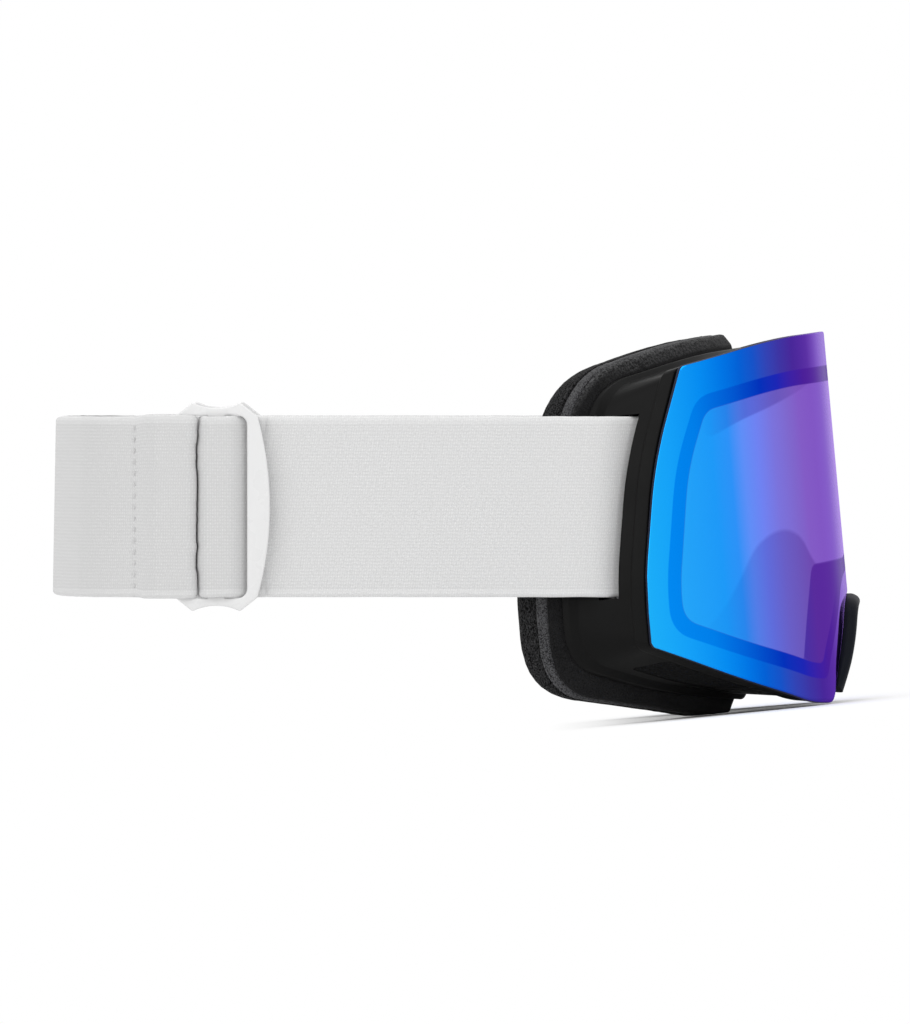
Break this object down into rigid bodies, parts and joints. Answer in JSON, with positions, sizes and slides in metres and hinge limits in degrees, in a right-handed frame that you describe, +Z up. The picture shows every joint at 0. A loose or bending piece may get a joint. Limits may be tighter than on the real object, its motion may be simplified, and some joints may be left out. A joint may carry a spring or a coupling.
{
  "type": "snow goggles",
  "caption": "Frameless wrap-round snow goggles: mirrored lens on a vented frame, laminated face foam, nose piece and an adjustable webbing strap with slides.",
  "frame": {"origin": "on the rest plane, under the middle of the whole object's box", "axes": "+Z up as worn, the lens faces -Y, X = 0 is the plane of symmetry and +X is the wearer's left"},
  "size_m": [0.1784, 0.224, 0.1046],
  "materials": {
    "lens_mirror": "mirror coating, blue to violet, polished",
    "lens_pane": "clear, anti-fog coated",
    "gasket_foam": "closed-cell foam",
    "carrier_plastic": "satin",
    "magnet_metal": "plated",
    "frame_plastic": "smooth matte black",
    "nose_rubber": "soft matte",
    "vent_foam": "open-cell foam",
    "base_foam": "open-cell foam",
    "ridge_foam": "fine-cell foam",
    "fleece": "brushed fleece",
    "rod_steel": "satin",
    "webbing": "ribbed knit elastic",
    "slide_plastic": "gloss white",
    "seam_thread": "sewing thread",
    "grip_silicone": "printed silicone"
  },
  "bodies": {
    "frame": {"frame_shell": "frame_plastic", "frame_magnets": "magnet_metal", "nose_piece": "nose_rubber", "top_vent_foam": "vent_foam", "bottom_vent_foam_left": "vent_foam", "bottom_vent_foam_right": "vent_foam", "face_foam_base": "base_foam", "face_foam_mid": "ridge_foam", "face_foam_fleece": "fleece", "strap_anchor_left": "rod_steel", "strap_anchor_right": "rod_steel", "strap_front_left": "webbing", "strap_front_right": "webbing"},
    "lens": {"outer_lens": "lens_mirror", "lens_gasket": "gasket_foam", "inner_lens": "lens_pane", "lens_carrier": "carrier_plastic", "lens_magnets": "magnet_metal"},
    "strap": {"slide_left": "slide_plastic", "slide_right": "slide_plastic", "strap_wrap_left": "webbing", "strap_wrap_right": "webbing", "strap_rear": "webbing", "strap_seam_left": "seam_thread", "strap_seam_right": "seam_thread", "strap_grip": "grip_silicone"}
  },
  "joints": [
    {"name": "lens_release", "type": "slide", "parent": "frame", "child": "lens", "axis": [0, -1, 0], "range_m": [0, 0.07]},
    {"name": "strap_adjust", "type": "slide", "parent": "frame", "child": "strap", "axis": [0, 0.9958, 0.0913], "range_m": [0, 0.03]}
  ]
}
